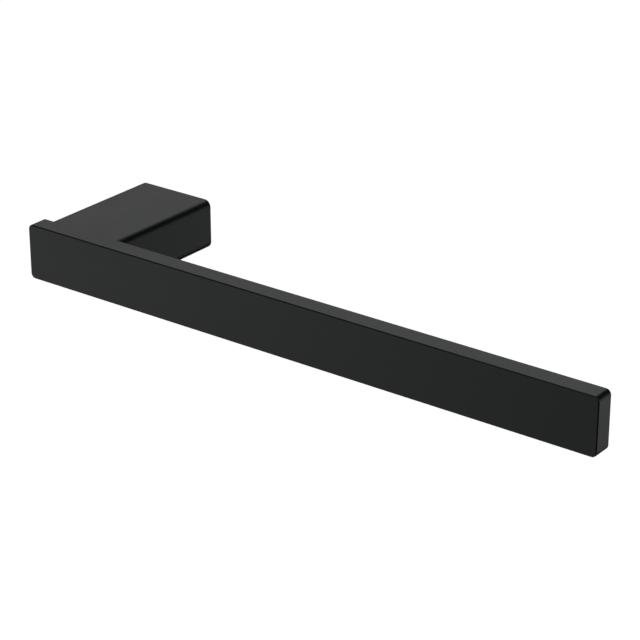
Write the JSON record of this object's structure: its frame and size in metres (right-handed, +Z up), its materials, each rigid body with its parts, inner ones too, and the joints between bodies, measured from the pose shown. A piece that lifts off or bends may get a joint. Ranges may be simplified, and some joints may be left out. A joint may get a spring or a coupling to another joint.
{
  "type": "hand towel holder",
  "caption": "Wall-mounted hand towel holder: a flat bar with softened edges, free at its far end, cast in one with a hollow post that slides over a hidden wall bracket.",
  "frame": {"origin": "on the wall, midway between the bracket's two screw holes", "axes": "+X along the bar to its free end, +Y into the wall, +Z up"},
  "size_m": [0.2499, 0.0605, 0.022],
  "materials": {
    "black_powder_coat": "fine matte black powder coat over cast zinc alloy",
    "cast_zinc": "bare die-cast zinc alloy, dull grey",
    "black_steel": "black oxide on steel"
  },
  "bodies": {
    "root": {"towel_bar": "black_powder_coat", "wall_bracket": "cast_zinc", "grub_screw_left": "black_steel", "grub_screw_right": "black_steel"}
  },
  "joints": []
}
